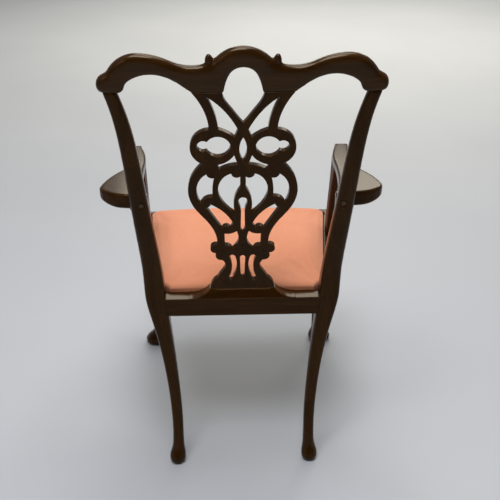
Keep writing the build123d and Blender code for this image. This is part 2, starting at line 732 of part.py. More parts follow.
def wood_screw(place, shank):
    # head behind the plane at place, shank along the plane's z
    with BuildSketch(place, mode=Mode.PRIVATE) as head:
        RegularPolygon(screw_head_radius, head_sides)
    extrude(head.sketch, amount=-screw_head_height)
    with BuildSketch(place, mode=Mode.PRIVATE) as body:
        RegularPolygon(screw_radius, shank_sides)
    extrude(body.sketch, amount=shank)


# Arm screws: in from the rear of each back post, under a round plug
arm_screw_x = post_middle_x + 13.5
arm_screw_z = (arm_under_z + arm_top_z) / 2
post_rear_y = rail_back_y - back_inset + (arm_screw_z - rail_top_z) * tan(rake)
plug_seat_y = post_rear_y - plug_depth
arm_screw_seat = Plane((arm_screw_x, plug_seat_y - screw_head_height, arm_screw_z), z_dir=(0, -1, 0))
arm_screw_length = plug_seat_y - screw_head_height - arm_back_y - arm_let_in + screw_bite
with BuildPart() as left_arm_screw:
    wood_screw(arm_screw_seat, arm_screw_length)
with BuildPart() as plug_bore:
    with Locations(Location(arm_screw_seat)):
        Cylinder(
            plug_radius,
            screw_head_height + 4 * plug_depth,
            align=(Align.CENTER, Align.CENTER, Align.MAX),
        )
with BuildPart() as left_plug:
    with Locations(Location(arm_screw_seat.offset(-screw_head_height))):
        Cylinder(plug_radius, 4 * plug_depth, align=(Align.CENTER, Align.CENTER, Align.MAX))
    add(post_blank.part, mode=Mode.INTERSECT)
with BuildPart() as arm_screws:
    add(left_arm_screw.part)
    mirror(left_arm_screw.part, about=Plane.YZ)
with BuildPart() as arm_screw_plugs:
    add(left_plug.part)
    mirror(left_plug.part, about=Plane.YZ)
with BuildPart() as left_back_post:
    add(post_blank.part)
    add(plug_bore.part, mode=Mode.SUBTRACT)
    add(left_arm_screw.part, mode=Mode.SUBTRACT)
with BuildPart() as right_back_post:
    mirror(left_back_post.part, about=Plane.YZ)
with BuildPart() as left_arm:
    add(arm_blank.part)
    add(left_arm_screw.part, mode=Mode.SUBTRACT)
    add(arm_post_blank.part, mode=Mode.SUBTRACT)
with BuildPart() as right_arm:
    mirror(left_arm.part, about=Plane.YZ)

# Arm post screws: two through each side rail from inside, into the lapped tongue
tongue_middle = side_s(arm_post_middle_y)
with BuildPart() as left_arm_post_screws:
    for drop in (26.0, 44.0):
        seat = Vector(tongue_middle, -side_rail_thickness / 2, rail_top_z - drop)
        wood_screw(
            Plane(side_plane.from_local_coords(seat), z_dir=side_plane.y_dir),
            side_rail_thickness + arm_post_lap - 2,
        )
with BuildPart() as arm_post_screws:
    add(left_arm_post_screws.part)
    mirror(left_arm_post_screws.part, about=Plane.YZ)
with BuildPart() as left_arm_post:
    add(arm_post_blank.part)
    add(left_arm_post_screws.part, mode=Mode.SUBTRACT)
with BuildPart() as right_arm_post:
    mirror(left_arm_post.part, about=Plane.YZ)

# Corner blocks: a triangle glued between two rails, cut clear of the leg, with a screw into each rail
block_z = rail_top_z - block_below - block_height
block_seat = 10.0  # wood under a block screw's head
front_inside_y = rail_front_y + side_rail_thickness
rail_inside = -side_rail_thickness / 2
post_inside_x = post_middle_x - post_width / 2 - 9
leg_inside_x = front_leg_x - front_leg_size / 2
leg_inside_y = front_leg_y + front_leg_size / 2
block_middle_z = block_z + block_height / 2
with BuildPart() as left_block_screws:
    for inside_y, ahead, along in ((rear_inside_y, 1, 1), (front_inside_y, -1, -1)):
        corner_x = side_x(inside_y, rail_inside)
        rail_seat = (corner_x - block_leg + 24, inside_y - ahead * block_seat, block_middle_z)
        wood_screw(Plane(rail_seat, z_dir=(0, ahead, 0)), block_seat + screw_bite)
        side_seat = Vector(
            side_s(inside_y) + along * (block_leg - 22),
            rail_inside - block_seat,
            block_middle_z,
        )
        wood_screw(
            Plane(side_plane.from_local_coords(side_seat), z_dir=side_plane.y_dir),
            block_seat + screw_bite,
        )
with BuildPart() as corner_block_screws:
    add(left_block_screws.part)
    mirror(left_block_screws.part, about=Plane.YZ)


def corner_block(inside_y, toward, clear_x, clear_y):
    # a block in a left corner; toward is +1 where the block runs to the front of its rail
    corner_x = side_x(inside_y, rail_inside)
    far_y = inside_y - toward * block_leg
    with BuildPart() as block:
        with BuildSketch(Plane.XY.offset(block_z)):
            with BuildLine():
                Polyline(
                    (corner_x, inside_y),
                    (corner_x - block_leg, inside_y),
                    (side_x(far_y, rail_inside), far_y),
                    close=True,
                )
            make_face()
            with Locations((clear_x, clear_y)):
                Rectangle(
                    200,
                    200,
                    align=(Align.MIN, Align.MIN if toward > 0 else Align.MAX),
                    mode=Mode.SUBTRACT,
                )
        extrude(amount=block_height)
        add(left_block_screws.part, mode=Mode.SUBTRACT)
        # room for the screwdriver in front of each head
        head_in = block_seat + screw_head_height
        rail_seat = (corner_x - block_leg + 24, inside_y - toward * head_in, block_middle_z)
        side_seat_s = side_s(inside_y) + toward * (block_leg - 22)
        side_seat = Vector(side_seat_s, rail_inside - head_in, block_middle_z)
        for head_plane in (
            Plane(rail_seat, z_dir=(0, -toward, 0)),
            Plane(side_plane.from_local_coords(side_seat), z_dir=-side_plane.y_dir),
        ):
            with BuildSketch(head_plane):
                RegularPolygon(screw_head_radius, head_sides)
            extrude(amount=block_leg, mode=Mode.SUBTRACT)
    return block


rear_left_corner_block = corner_block(rear_inside_y, 1, post_inside_x, post_front_y - block_gap)
front_left_corner_block = corner_block(
    front_inside_y,
    -1,
    leg_inside_x - block_gap,
    leg_inside_y + block_gap,
)
with BuildPart() as rear_right_corner_block:
    mirror(rear_left_corner_block.part, about=Plane.YZ)
with BuildPart() as front_right_corner_block:
    mirror(front_left_corner_block.part, about=Plane.YZ)

# Rails with their screw holes
with BuildPart() as rear_seat_rail:
    add(rear_rail_blank.part)
    add(corner_block_screws.part, mode=Mode.SUBTRACT)
with BuildPart() as front_seat_rail:
    add(front_rail_blank.part)
    add(corner_block_screws.part, mode=Mode.SUBTRACT)
with BuildPart() as left_side_rail:
    add(side_rail_blank.part)
    add(left_block_screws.part, mode=Mode.SUBTRACT)
    add(left_arm_post_screws.part, mode=Mode.SUBTRACT)
with BuildPart() as right_side_rail:
    mirror(left_side_rail.part, about=Plane.YZ)
with BuildPart() as right_front_leg:
    mirror(left_front_leg.part, about=Plane.YZ)

# Drop-in seat
cover_z = ledge_z + seat_rest_gap
frame_z = cover_z + cover_thickness
frame_top_z = frame_z + seat_frame_height
seat_back_y = opening_back_y - seat_clearance
seat_front_y = opening_front_y + seat_clearance
notch_x = post_middle_x - post_width / 2 - seat_notch_gap
notch_y = post_front_y - seat_notch_gap


def seat_half_width(y, inset):
    return side_x(y, rebate_out - seat_clearance - inset)


def seat_outline(inset):
    # plan of the seat inside its edge, with the rear corners notched for the back posts
    half = [
        (notch_x - inset, seat_back_y - inset),
        (notch_x - inset, notch_y - inset),
        (seat_half_width(notch_y - inset, inset), notch_y - inset),
        (seat_half_width(seat_front_y + inset, inset), seat_front_y + inset),
    ]
    return half + [(-x, y) for x, y in reversed(half)]


def seat_slab(inset, z, height):
    with BuildPart() as slab:
        with BuildSketch(Plane.XY.offset(z)):
            with BuildLine():
                Polyline(*seat_outline(inset), close=True)
            make_face()
        extrude(amount=height)
    return slab.part


# Flanks of the cushion: share of the way up to the crown, and how far drawn in
flank_steps = [(0.0, 0.0), (0.3, 2.0), (0.5, 6.5), (0.62, 12.0), (0.76, 24.0), (1.0, 24.1)]


def crowned_seat(inset):
    # the seat's outer form drawn in by inset: upright sides, flanks that lean in, and a domed top
    flank_z = frame_top_z + flank_foot - inset
    flank_height = crown_height - flank_foot
    with BuildPart() as form:
        add(seat_slab(inset, cover_z + inset, flank_z - cover_z - inset))
        sections = []
        for share, drawn_in in flank_steps:
            with BuildSketch(Plane.XY.offset(flank_z + share * flank_height), mode=Mode.PRIVATE) as section:
                with BuildLine():
                    Polyline(*seat_outline(inset + drawn_in), close=True)
                make_face()
            sections.append(section.sketch.face())
        loft(sections, ruled=True)
        with BuildPart(mode=Mode.PRIVATE) as dome:
            with Locations((0, (seat_front_y + seat_back_y) / 2, flank_z + flank_height - dome_radius)):
                Sphere(dome_radius, rotation=(90, 0, 0))
        add(dome.part, mode=Mode.INTERSECT)
    return form.part


# Tacks through the dust cloth and the turned-under cover into the seat frame
tack_inset = (dust_cloth_inset + cover_turn_under) / 2
tack_z = cover_z - dust_cloth_thickness
tack_places = []
for count in range(7):
    y = seat_front_y + tack_inset + 20 + count * (seat_back_y - seat_front_y - 2 * tack_inset - 40) / 6
    tack_places.append((seat_half_width(y, tack_inset), y))
    tack_places.append((-seat_half_width(y, tack_inset), y))
for count in range(5):
    x = (count - 2) * notch_x / 3
    tack_places.append((x, seat_front_y + tack_inset))
    tack_places.append((x, seat_back_y - tack_inset))
with BuildPart() as seat_tacks:
    for x, y in tack_places:
        with BuildSketch(Plane.XY.offset(tack_z)):
            with Locations((x, y)):
                RegularPolygon(tack_head_radius, tack_sides)
        extrude(amount=-tack_head_height)
        with BuildSketch(Plane.XY.offset(tack_z)):
            with Locations((x, y)):
                Rectangle(tack_shank, tack_shank)
        extrude(amount=tack_length)

# Seat cover, turned under the frame
with BuildPart() as seat_cover:
    add(crowned_seat(0))
    add(crowned_seat(cover_thickness), mode=Mode.SUBTRACT)
    add(seat_slab(cover_turn_under, cover_z, cover_thickness), mode=Mode.SUBTRACT)
    add(seat_tacks.part, mode=Mode.SUBTRACT)

# Seat frame: four rails butted at the corners
frame_inset = cover_thickness + fit_gap
inner_inset = frame_inset + seat_frame_width
inner_back_y = seat_back_y - inner_inset
inner_front_y = seat_front_y + inner_inset
with BuildPart() as frame_ring:
    add(seat_slab(frame_inset, frame_z, seat_frame_height))
    with BuildSketch(Plane.XY.offset(frame_z)):
        with BuildLine():
            Polyline(
                (seat_half_width(inner_back_y, inner_inset), inner_back_y),
                (seat_half_width(inner_front_y, inner_inset), inner_front_y),
                (-seat_half_width(inner_front_y, inner_inset), inner_front_y),
                (-seat_half_width(inner_back_y, inner_inset), inner_back_y),
                close=True,
            )
        make_face()
    extrude(amount=seat_frame_height, mode=Mode.SUBTRACT)
    add(seat_tacks.part, mode=Mode.SUBTRACT)


def frame_piece(x, y, x_align, y_align, length):
    # the part of the ring on one side of a corner point
    with BuildPart() as piece:
        with BuildSketch(Plane.XY.offset(frame_z)):
            with Locations((x, y)):
                Rectangle(1000, length, align=(x_align, y_align))
        extrude(amount=seat_frame_height)
        add(frame_ring.part, mode=Mode.INTERSECT)
    return piece


inner_length = inner_back_y - inner_front_y
seat_frame_front = frame_piece(0, inner_front_y, Align.CENTER, Align.MAX, 200)
seat_frame_back = frame_piece(0, inner_back_y, Align.CENTER, Align.MIN, 200)
seat_frame_left = frame_piece(0, inner_front_y, Align.MIN, Align.MIN, inner_length)
seat_frame_right = frame_piece(0, inner_front_y, Align.MAX, Align.MIN, inner_length)

# Webbing: four straps each way, one over and one under
web_x = [(count - 1.5) * 74.0 for count in range(4)]
web_pitch = inner_length / 4
web_y = [inner_front_y + (count + 0.5) * web_pitch for count in range(4)]
web_lift = web_thickness + web_gap
web_flat = web_width / 2 + 3


def strap_points(start, end, crossings, first_over):
    # underside of a strap: flat on the frame at its ends, lifted over every other crossing
    points = [(start, frame_top_z)]
    for number, place in enumerate(crossings):
        lift = web_lift if (number + first_over) % 2 == 0 else 0
        points.append((place - web_flat, frame_top_z + lift))
        points.append((place + web_flat, frame_top_z + lift))
    points.append((end, frame_top_z))
    return points


with BuildPart() as seat_webbing:
    for number, x in enumerate(web_x):
        low = strap_points(inner_front_y - 30, inner_back_y + 30, web_y, number)
        high = [(y, z + web_thickness) for y, z in reversed(low)]
        with BuildSketch(Plane((x, 0, 0), x_dir=(0, 1, 0), z_dir=(1, 0, 0))):
            with BuildLine():
                Polyline(*low, *high, close=True)
            make_face()
        extrude(amount=web_width / 2, both=True)
    for number, y in enumerate(web_y):
        reach = seat_half_width(y, inner_inset) + 30
        low = strap_points(-reach, reach, web_x, number + 1)
        high = [(x, z + web_thickness) for x, z in reversed(low)]
        with BuildSketch(Plane((0, y, 0), x_dir=(1, 0, 0), z_dir=(0, -1, 0))):
            with BuildLine():
                Polyline(*low, *high, close=True)
            make_face()
        extrude(amount=web_width / 2, both=True)

# Hessian, stuffing and dust cloth
hessian_z = frame_top_z + web_lift + web_thickness + web_gap
pad_z = hessian_z + hessian_thickness
with BuildPart() as seat_hessian:
    add(seat_slab(hessian_inset, hessian_z, hessian_thickness))
with BuildPart() as seat_pad:
    add(crowned_seat(cover_thickness))
    add(seat_slab(-50, cover_z - 50, pad_z - cover_z + 50), mode=Mode.SUBTRACT)
with BuildPart() as seat_dust_cloth:
    add(seat_slab(dust_cloth_inset, cover_z - dust_cloth_thickness, dust_cloth_thickness))
    add(seat_tacks.part, mode=Mode.SUBTRACT)

for piece, label in (
    (left_back_post, "left_back_post"),
    (right_back_post, "right_back_post"),
    (crest_rail, "crest_rail"),
    (splat, "splat"),
    (splat_shoe, "splat_shoe"),
    (rear_seat_rail, "rear_seat_rail"),
    (front_seat_rail, "front_seat_rail"),
    (left_side_rail, "left_side_rail"),
    (right_side_rail, "right_side_rail"),
    (left_front_leg, "left_front_leg"),
    (right_front_leg, "right_front_leg"),
    (left_arm, "left_arm"),
    (right_arm, "right_arm"),
    (left_arm_post, "left_arm_post"),
    (right_arm_post, "right_arm_post"),
    (rear_left_corner_block, "rear_left_corner_block"),
    (rear_right_corner_block, "rear_right_corner_block"),
    (front_left_corner_block, "front_left_corner_block"),
    (front_right_corner_block, "front_right_corner_block"),
    (corner_block_screws, "corner_block_screws"),
    (arm_screws, "arm_screws"),
    (arm_screw_plugs, "arm_screw_plugs"),
    (arm_post_screws, "arm_post_screws"),
    (seat_frame_front, "seat_frame_front"),
    (seat_frame_back, "seat_frame_back"),
    (seat_frame_left, "seat_frame_left"),
    (seat_frame_right, "seat_frame_right"),
    (seat_webbing, "seat_webbing"),
    (seat_hessian, "seat_hessian"),
    (seat_pad, "seat_pad"),
    (seat_cover, "seat_cover"),
    (seat_dust_cloth, "seat_dust_cloth"),
    (seat_tacks, "seat_tacks"),
):
    piece.part.label = label
    export_step(piece.part, "parts/" + label + ".step")
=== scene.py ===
import math

import bmesh
import bpy
from mathutils import Matrix, Vector


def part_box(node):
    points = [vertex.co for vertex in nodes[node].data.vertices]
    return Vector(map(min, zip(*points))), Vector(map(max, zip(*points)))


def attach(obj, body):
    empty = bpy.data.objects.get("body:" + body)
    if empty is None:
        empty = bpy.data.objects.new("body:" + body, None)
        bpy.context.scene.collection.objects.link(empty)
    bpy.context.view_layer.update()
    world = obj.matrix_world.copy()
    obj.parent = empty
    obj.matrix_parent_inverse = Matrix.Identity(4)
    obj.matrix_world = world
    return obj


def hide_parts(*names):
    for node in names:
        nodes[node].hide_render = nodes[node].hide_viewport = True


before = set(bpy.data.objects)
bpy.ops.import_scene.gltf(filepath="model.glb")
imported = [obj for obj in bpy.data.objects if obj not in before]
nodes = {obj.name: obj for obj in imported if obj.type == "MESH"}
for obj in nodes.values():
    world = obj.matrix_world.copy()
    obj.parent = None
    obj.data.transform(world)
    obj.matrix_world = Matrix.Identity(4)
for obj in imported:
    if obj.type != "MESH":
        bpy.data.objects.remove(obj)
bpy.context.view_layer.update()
print("frame loaded,", len(nodes), "nodes")


def addObject(name, data):
    made = bpy.data.objects.new(name, data)
    bpy.context.scene.collection.objects.link(made)
    return made


def within(value, low=0.0, high=1.0):
    return min(high, max(low, value))


def ease(share):
    return share * share * (3 - 2 * share)


# Camera: behind the chair, a little to its left, looking down at the back
cameraView = {
    "place": (0.0415, 1.6625, 1.279),
    "lens": 56.2,
    "sensor": 36.0,
    "pitch": 0.473,
    "yaw": -0.039,
    "roll": 0.002,
}


def makeCamera(v):
    up = Vector((0, 0, 1))
    ahead = Vector((math.sin(v["yaw"]), -math.cos(v["yaw"]), 0))
    right = Vector((-math.cos(v["yaw"]), -math.sin(v["yaw"]), 0))
    look = ahead * math.cos(v["pitch"]) - up * math.sin(v["pitch"])
    top = ahead * math.sin(v["pitch"]) + up * math.cos(v["pitch"])
    side = right * math.cos(v["roll"]) + top * math.sin(v["roll"])
    crown = top * math.cos(v["roll"]) - right * math.sin(v["roll"])
    data = bpy.data.cameras.new("chairCamera")
    data.lens = v["lens"]
    data.sensor_width = v["sensor"]
    camera = addObject("chairCamera", data)
    turn = Matrix((side, crown, -look)).transposed()
    camera.matrix_world = Matrix.Translation(Vector(v["place"])) @ turn.to_4x4()
    bpy.context.scene.camera = camera


makeCamera(cameraView)
print("camera placed")


# Short ways to build node trees
def startMaterial(name):
    material = bpy.data.materials.new(name)
    material.use_nodes = True
    tree = material.node_tree
    tree.nodes.clear()
    out = tree.nodes.new("ShaderNodeOutputMaterial")
    shader = tree.nodes.new("ShaderNodeBsdfPrincipled")
    tree.links.new(shader.outputs["BSDF"], out.inputs["Surface"])
    return material, tree, shader


def put(tree, kind, settings=None, **inputs):
    node = tree.nodes.new(kind)
    for key, value in (settings or {}).items():
        setattr(node, key, value)
    for key, value in inputs.items():
        feed(tree, node, key.replace("_", " "), value)
    return node


def feed(tree, node, name, value):
    socket = node.inputs[int(name)] if name.isdigit() else node.inputs[name]
    if isinstance(value, bpy.types.NodeSocket):
        tree.links.new(value, socket)
    else:
        socket.default_value = value


def noise(tree, place, scale, detail, **more):
    return put(tree, "ShaderNodeTexNoise", Vector=place, Scale=scale, Detail=detail, **more)


def maths(tree, operation, a, b):
    node = put(tree, "ShaderNodeMath", {"operation": operation})
    feed(tree, node, "0", a)
    feed(tree, node, "1", b)
    return node.outputs[0]


def blendColour(tree, share, a, b):
    node = put(tree, "ShaderNodeMix", {"data_type": "RGBA"})
    feed(tree, node, "0", share)
    for name, colour in (("6", a), ("7", b)):  # a colour is a link or three numbers
        feed(tree, node, name, colour if isinstance(colour, bpy.types.NodeSocket) else (*colour, 1))
    return node.outputs[2]


def ramp(tree, value, stops):
    node = tree.nodes.new("ShaderNodeValToRGB")
    elements = node.color_ramp.elements
    while len(elements) < len(stops):
        elements.new(0.5)
    for element, (place, colour) in zip(elements, stops):
        element.position = place
        element.color = (*colour, 1)
    tree.links.new(value, node.inputs["Fac"])
    return node.outputs["Color"]


def spread(tree, value, low, high, toLow=0.0, toHigh=1.0):
    node = put(tree, "ShaderNodeMapRange", From_Min=low, From_Max=high, To_Min=toLow, To_Max=toHigh)
    tree.links.new(value, node.inputs["Value"])
    return node.outputs["Result"]


# Polished dark wood, one material for each direction of the grain
mahogany = {
    "dark": (0.018, 0.0060, 0.0008),
    "middle": (0.032, 0.0115, 0.0015),
    "warm": (0.055, 0.0200, 0.0030),
    "worn": (0.120, 0.050, 0.012),
    "roughLow": 0.15,
    "roughHigh": 0.20,
    "edge": 0.004,  # reach of the rubbed tone from an edge
    "grainBump": 0.03,
    "shine": 0.16,
    "tint": (1.0, 0.74, 0.44, 1),
    "coat": 0.05,
    "ringScale": 46.0,
    "poreScale": 620.0,
    "ringStretch": 0.055,  # scale along the grain, beside 1 across it
    "poreStretch": 0.018,
    "poreDepth": 0.6,
    "wander": 0.035,
    "rubbed": 0.55,
}


def woodGrain(name, along, w):
    material, tree, shader = startMaterial(name)
    place = put(tree, "ShaderNodeTexCoord").outputs["Object"]
    stretch = [1.0, 1.0, 1.0]
    stretch[along] = w["ringStretch"]
    pull = [1.0, 1.0, 1.0]
    pull[along] = w["poreStretch"]
    # the rings wander a little, and the fine pores run straight
    drift = noise(tree, place, 5.0, 2.0)
    bent = put(tree, "ShaderNodeVectorMath", {"operation": "MULTIPLY_ADD"})
    tree.links.new(drift.outputs["Color"], bent.inputs[0])
    bent.inputs[1].default_value = [w["wander"]] * 3
    tree.links.new(place, bent.inputs[2])
    figureMap = put(tree, "ShaderNodeMapping", Vector=bent.outputs[0], Scale=stretch)
    figure = noise(tree, figureMap.outputs[0], w["ringScale"], 6.0, Roughness=0.62).outputs["Fac"]
    poreMap = put(tree, "ShaderNodeMapping", Vector=place, Scale=pull)
    pores = noise(tree, poreMap.outputs[0], w["poreScale"], 3.0, Roughness=0.55).outputs["Fac"]
    cloud = noise(tree, place, 7.0, 3.0).outputs["Fac"]
    tone = ramp(tree, figure, [(0.3, w["dark"]), (0.5, w["middle"]), (0.72, w["warm"])])
    tone = blendColour(tree, spread(tree, cloud, 0.3, 0.7, 0.0, 0.55), tone, w["middle"])
    line = spread(tree, pores, 0.36, 0.5)
    pit = maths(tree, "MULTIPLY", maths(tree, "SUBTRACT", 1.0, line), w["poreDepth"])
    tone = blendColour(tree, pit, tone, w["dark"])
    # edges are rubbed paler in patches, where the softened normal leaves the true one
    soft = put(tree, "ShaderNodeBevel", {"samples": 6}, Radius=w["edge"])
    surface = put(tree, "ShaderNodeNewGeometry")
    turn = put(tree, "ShaderNodeVectorMath", {"operation": "DOT_PRODUCT"})
    tree.links.new(soft.outputs[0], turn.inputs[0])
    tree.links.new(surface.outputs["Normal"], turn.inputs[1])
    rubbed = spread(tree, turn.outputs["Value"], 0.99, 0.8)
    rubbed = maths(tree, "MULTIPLY", rubbed, spread(tree, cloud, 0.42, 0.62))
    tone = blendColour(tree, maths(tree, "MULTIPLY", rubbed, w["rubbed"]), tone, w["worn"])
    rough = spread(tree, figure, 0.3, 0.7, w["roughLow"], w["roughHigh"])
    ringHeight = maths(tree, "MULTIPLY", figure, 0.5)
    height = maths(tree, "ADD", maths(tree, "MULTIPLY", line, 0.7), ringHeight)
    bump = put(tree, "ShaderNodeBump", Strength=w["grainBump"], Distance=0.0004, Height=height)
    tree.links.new(soft.outputs[0], bump.inputs["Normal"])
    tree.links.new(tone, shader.inputs["Base Color"])
    tree.links.new(rough, shader.inputs["Roughness"])
    tree.links.new(bump.outputs[0], shader.inputs["Normal"])
    shader.inputs["Coat Weight"].default_value = w["coat"]
    shader.inputs["Coat Roughness"].default_value = 0.10
    shader.inputs["Specular IOR Level"].default_value = w["shine"]
    shader.inputs["Specular Tint"].default_value = w["tint"]
    return material


woodAcross = woodGrain("mahoganyAcross", 0, mahogany)
woodForward = woodGrain("mahoganyForward", 1, mahogany)
woodUpright = woodGrain("mahoganyUpright", 2, mahogany)
postWood = woodGrain("mahoganyPosts", 2, {**mahogany, "edge": 0.002})
# The arm posts get a lighter, redder copy of the same mahogany: painted light, standing in for the
# front light and the seat's orange bounce falling on their sides
litArmPostWood = woodGrain("mahoganyArmPostsLit", 2, {
    **mahogany,
    "middle": (0.060, 0.0180, 0.0030),
    "warm": (0.100, 0.0300, 0.0060),
    "roughLow": 0.36,
    "roughHigh": 0.46,
    "shine": 0.10,
    "coat": 0.0,
})
crestWood = woodGrain("mahoganyCrest", 0, {
    **mahogany,
    "edge": 0.002,
    "grainBump": 0.005,
    "roughLow": 0.17,
    "roughHigh": 0.19,
    "shine": 0.30,
    "tint": (1.0, 0.80, 0.56, 1),
})

# Plain planed wood of the hidden blocks and the seat frame
beech = {
    **mahogany,
    "dark": (0.30, 0.175, 0.085),
    "middle": (0.42, 0.26, 0.14),
    "warm": (0.50, 0.33, 0.19),
    "worn": (0.55, 0.38, 0.24),
    "roughLow": 0.55,
    "roughHigh": 0.75,
    "edge": 0.0015,
    "grainBump": 0.16,
    "shine": 0.38,
    "tint": (1, 1, 1, 1),
    "coat": 0.0,
}
beechAcross = woodGrain("beechAcross", 0, beech)
beechForward = woodGrain("beechForward", 1, beech)

# End grain of the round plugs over the arm screws
plugWood = {
    **mahogany,
    "dark": (0.040, 0.020, 0.006),
    "middle": (0.075, 0.042, 0.013),
    "warm": (0.105, 0.062, 0.022),
    "worn": (0.130, 0.080, 0.032),
    "roughLow": 0.4,
    "roughHigh": 0.6,
    "edge": 0.0006,
    "grainBump": 0.2,
    "shine": 0.3,
    "tint": (1, 0.9, 0.8, 1),
    "ringScale": 220.0,
    "poreScale": 1500.0,
}
plugGrain = woodGrain("plugEndGrain", 1, plugWood)


# Steel of the screws and tacks
def workedSteel(name, s):
    material, tree, shader = startMaterial(name)
    place = put(tree, "ShaderNodeTexCoord").outputs["Object"]
    scratch = noise(tree, place, 900.0, 4.0).outputs["Fac"]
    stain = noise(tree, place, 160.0, 3.0).outputs["Fac"]
    tone = blendColour(tree, spread(tree, stain, 0.35, 0.65), s["bright"], s["dull"])
    rough = spread(tree, scratch, 0.3, 0.7, s["roughLow"], s["roughHigh"])
    bump = put(tree, "ShaderNodeBump", Strength=0.15, Distance=0.0002, Height=scratch)
    tree.links.new(tone, shader.inputs["Base Color"])
    tree.links.new(rough, shader.inputs["Roughness"])
    tree.links.new(bump.outputs[0], shader.inputs["Normal"])
    shader.inputs["Metallic"].default_value = 1.0
    return material


screwSteel = workedSteel("screwSteel", {
    "bright": (0.46, 0.44, 0.40),
    "dull": (0.27, 0.24, 0.20),
    "roughLow": 0.3,
    "roughHigh": 0.5,
})
tackSteel = workedSteel("tackSteel", {
    "bright": (0.09, 0.09, 0.11),
    "dull": (0.05, 0.045, 0.045),
    "roughLow": 0.35,
    "roughHigh": 0.55,
})


# Woven cloth: threads along x and y, with uneven slubs and a slow change of tone
def wovenCloth(name, c):
    material, tree, shader = startMaterial(name)
    place = put(tree, "ShaderNodeTexCoord").outputs["Object"]
    band = 2 * math.pi / (20 * c["pitch"])
    threads = []
    slubs = []
    for way, stretch in (("X", (0.06, 1.0, 1.0)), ("Y", (1.0, 0.06, 1.0))):
        thread = put(tree, "ShaderNodeTexWave", {"bands_direction": way}, Vector=place, Scale=band,
                     Distortion=0.6, Detail=2.0, Detail_Scale=0.4)
        threads.append(thread.outputs["Fac"])
        drawn = put(tree, "ShaderNodeMapping", Vector=place, Scale=stretch)
        slubs.append(noise(tree, drawn.outputs[0], 420.0, 2.0).outputs["Fac"])
    weave = maths(tree, "MULTIPLY", *threads)
    slub = maths(tree, "ADD", *slubs)
    cloud = noise(tree, place, 6.0, 4.0).outputs["Fac"]
    tone = blendColour(tree, spread(tree, cloud, 0.35, 0.65), c["deep"], c["colour"])
    tone = blendColour(tree, spread(tree, slub, 0.75, 1.25, 0.0, 0.35), tone, c["pale"])
    tone = blendColour(tree, spread(tree, weave, 0.0, 0.35, c["gap"], 0.0), tone, c["shadow"])
    height = maths(tree, "ADD", weave, maths(tree, "MULTIPLY", slub, 0.6))
    bump = put(tree, "ShaderNodeBump", Strength=c["bump"], Distance=0.0006, Height=height)
    tree.links.new(tone, shader.inputs["Base Color"])
    tree.links.new(bump.outputs[0], shader.inputs["Normal"])
    shader.inputs["Roughness"].default_value = 0.85
    shader.inputs["Specular IOR Level"].default_value = 0.25
    shader.inputs["Sheen Weight"].default_value = c["sheen"]
    shader.inputs["Sheen Roughness"].default_value = 0.5
    return material


seatCloth = wovenCloth("seatCloth", {
    "colour": (0.82, 0.335, 0.19),
    "deep": (0.76, 0.29, 0.155),
    "pale": (0.86, 0.40, 0.25),
    "shadow": (0.52, 0.17, 0.08),
    "pitch": 0.0013,
    "gap": 0.45,
    "bump": 0.35,
    "sheen": 0.12,
})
dustWeave = wovenCloth("dustWeave", {
    "colour": (0.032, 0.032, 0.036),
    "deep": (0.022, 0.022, 0.025),
    "pale": (0.055, 0.055, 0.06),
    "shadow": (0.01, 0.01, 0.012),
    "pitch": 0.0011,
    "gap": 0.6,
    "bump": 0.4,
    "sheen": 0.1,
})
juteWeave = wovenCloth("juteWeave", {
    "colour": (0.36, 0.24, 0.12),
    "deep": (0.27, 0.17, 0.08),
    "pale": (0.46, 0.33, 0.19),
    "shadow": (0.08, 0.05, 0.025),
    "pitch": 0.0026,
    "gap": 0.8,
    "bump": 0.7,
    "sheen": 0.05,
})
strapWeave = wovenCloth("strapWeave", {
    "colour": (0.42, 0.33, 0.20),
    "deep": (0.34, 0.26, 0.15),
    "pale": (0.52, 0.43, 0.29),
    "shadow": (0.13, 0.09, 0.05),
    "pitch": 0.0018,
    "gap": 0.7,
    "bump": 0.6,
    "sheen": 0.05,
})
print("materials made")

# Which finish each CAD piece has
finishes = {
    postWood: ["left_back_post", "right_back_post", "left_front_leg", "right_front_leg"],
    woodUpright: ["splat"],
    litArmPostWood: ["left_arm_post", "right_arm_post"],
    crestWood: ["crest_rail"],
    woodAcross: ["splat_shoe", "rear_seat_rail", "front_seat_rail"],
    woodForward: ["left_arm", "right_arm", "left_side_rail", "right_side_rail"],
    beechAcross: [
        "seat_frame_front",
        "seat_frame_back",
        "rear_left_corner_block",
        "rear_right_corner_block",
        "front_left_corner_block",
        "front_right_corner_block",
    ],
    beechForward: ["seat_frame_left", "seat_frame_right"],
    plugGrain: ["arm_screw_plugs"],
    screwSteel: ["corner_block_screws", "arm_screws", "arm_post_screws"],
    tackSteel: ["seat_tacks"],
    seatCloth: ["seat_cover", "seat_pad"],
    dustWeave: ["seat_dust_cloth"],
    juteWeave: ["seat_hessian"],
    strapWeave: ["seat_webbing"],
}
for finish, names in finishes.items():
    for name in names:
        nodes[name].data.materials.clear()
        nodes[name].data.materials.append(finish)
print("finishes on the CAD pieces")


def finishPiece(piece, finish, body):
    piece.data.materials.clear()
    piece.data.materials.append(finish)
    for face in piece.data.polygons:
        face.use_smooth = True
    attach(piece, body)


def applyModifiers(piece):
    graph = bpy.context.evaluated_depsgraph_get()
    graph.update()
    made = bpy.data.meshes.new_from_object(piece.evaluated_get(graph))
    piece.modifiers.clear()
    piece.data = made


def meshEvenly(piece, voxel):
    even = piece.modifiers.new("even", "REMESH")
    even.mode = "VOXEL"
    even.voxel_size = voxel
    applyModifiers(piece)


def evenCopy(node, voxel):
    first, *others = node.split("_")
    piece = addObject(first + "".join(word.capitalize() for word in others), nodes[node].data.copy())
    meshEvenly(piece, voxel)
    return piece


def smoothOver(piece, rounds, group):
    smooth = piece.modifiers.new("smooth", "SMOOTH")
    smooth.factor = 0.5
    smooth.iterations = rounds
    smooth.vertex_group = group


